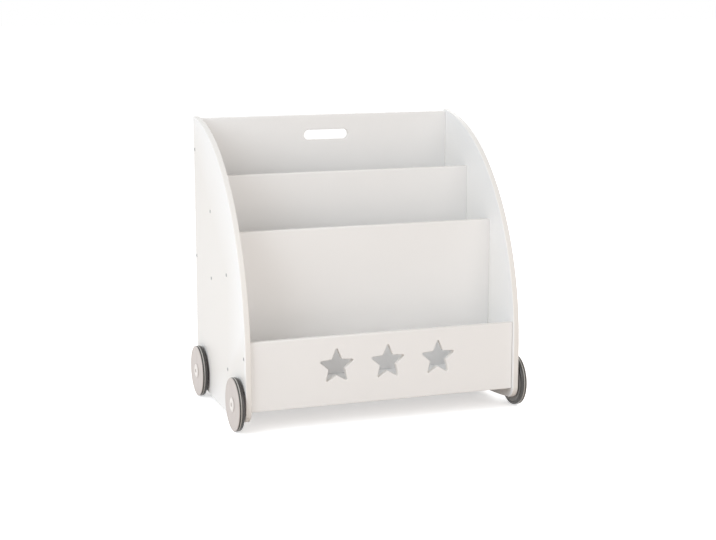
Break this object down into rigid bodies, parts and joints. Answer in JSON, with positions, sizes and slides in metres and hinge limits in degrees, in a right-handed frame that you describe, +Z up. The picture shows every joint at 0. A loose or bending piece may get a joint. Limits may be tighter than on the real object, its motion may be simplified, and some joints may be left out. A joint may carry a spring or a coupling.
{
  "type": "rolling bookcase",
  "caption": "Low white children's bookcase on wheels: curved side panels, stepped book bays, a star-cut front panel and a handle slot in the back.",
  "frame": {"origin": "on the floor under the middle of the bounding box, wheels included", "axes": "+X to the viewer's right when facing the front, +Y from the front to the back, +Z up"},
  "size_m": [0.637, 0.409, 0.6097],
  "materials": {
    "lacquered_board": "white satin lacquer on fibreboard",
    "zinc_steel": "zinc plated",
    "tyre_rubber": "dark grey, dull",
    "stripe_rubber": "light grey, dull",
    "core_plastic": "moulded, matte",
    "cover_plastic": "moulded, satin",
    "cap_plastic": "moulded, glossy",
    "spacer_nylon": "turned, plain"
  },
  "bodies": {
    "carcass": {"side_panel_left": "lacquered_board", "side_panel_right": "lacquered_board", "back_panel": "lacquered_board", "rear_divider": "lacquered_board", "front_divider": "lacquered_board", "front_panel": "lacquered_board", "front_bay_floor": "lacquered_board", "middle_bay_floor": "lacquered_board", "rear_bay_floor": "lacquered_board", "back_panel_screw_left_1": "zinc_steel", "back_panel_screw_left_2": "zinc_steel", "back_panel_screw_left_3": "zinc_steel", "back_panel_screw_right_1": "zinc_steel", "back_panel_screw_right_2": "zinc_steel", "back_panel_screw_right_3": "zinc_steel", "rear_divider_screw_left_1": "zinc_steel", "rear_divider_screw_left_2": "zinc_steel", "rear_divider_screw_right_1": "zinc_steel", "rear_divider_screw_right_2": "zinc_steel", "front_divider_screw_left_1": "zinc_steel", "front_divider_screw_left_2": "zinc_steel", "front_divider_screw_right_1": "zinc_steel", "front_divider_screw_right_2": "zinc_steel", "front_panel_screw_left_1": "zinc_steel", "front_panel_screw_left_2": "zinc_steel", "front_panel_screw_right_1": "zinc_steel", "front_panel_screw_right_2": "zinc_steel", "axle_bolt_front_left": "zinc_steel", "axle_bolt_front_right": "zinc_steel", "axle_bolt_rear_left": "zinc_steel", "axle_bolt_rear_right": "zinc_steel", "axle_nut_front_left": "zinc_steel", "axle_nut_front_right": "zinc_steel", "axle_nut_rear_left": "zinc_steel", "axle_nut_rear_right": "zinc_steel", "wheel_spacer_front_left": "spacer_nylon", "wheel_spacer_front_right": "spacer_nylon", "wheel_spacer_rear_left": "spacer_nylon", "wheel_spacer_rear_right": "spacer_nylon"},
    "wheel_front_left": {"tyre_front_left": "tyre_rubber", "tyre_stripe_front_left": "stripe_rubber", "wheel_core_front_left": "core_plastic", "wheel_cover_front_left": "cover_plastic", "hub_cap_front_left": "cap_plastic"},
    "wheel_front_right": {"tyre_front_right": "tyre_rubber", "tyre_stripe_front_right": "stripe_rubber", "wheel_core_front_right": "core_plastic", "wheel_cover_front_right": "cover_plastic", "hub_cap_front_right": "cap_plastic"},
    "wheel_rear_left": {"tyre_rear_left": "tyre_rubber", "tyre_stripe_rear_left": "stripe_rubber", "wheel_core_rear_left": "core_plastic", "wheel_cover_rear_left": "cover_plastic", "hub_cap_rear_left": "cap_plastic"},
    "wheel_rear_right": {"tyre_rear_right": "tyre_rubber", "tyre_stripe_rear_right": "stripe_rubber", "wheel_core_rear_right": "core_plastic", "wheel_cover_rear_right": "cover_plastic", "hub_cap_rear_right": "cap_plastic"}
  },
  "joints": [
    {"name": "wheel_front_left_spin", "type": "hinge", "parent": "carcass", "child": "wheel_front_left", "pos_m": [-0.31, -0.1495, 0.055], "axis": [1, 0, 0], "continuous": true},
    {"name": "wheel_front_right_spin", "type": "hinge", "parent": "carcass", "child": "wheel_front_right", "pos_m": [0.31, -0.1495, 0.055], "axis": [1, 0, 0], "continuous": true},
    {"name": "wheel_rear_left_spin", "type": "hinge", "parent": "carcass", "child": "wheel_rear_left", "pos_m": [-0.31, 0.1485, 0.055], "axis": [1, 0, 0], "continuous": true},
    {"name": "wheel_rear_right_spin", "type": "hinge", "parent": "carcass", "child": "wheel_rear_right", "pos_m": [0.31, 0.1485, 0.055], "axis": [1, 0, 0], "continuous": true}
  ]
}
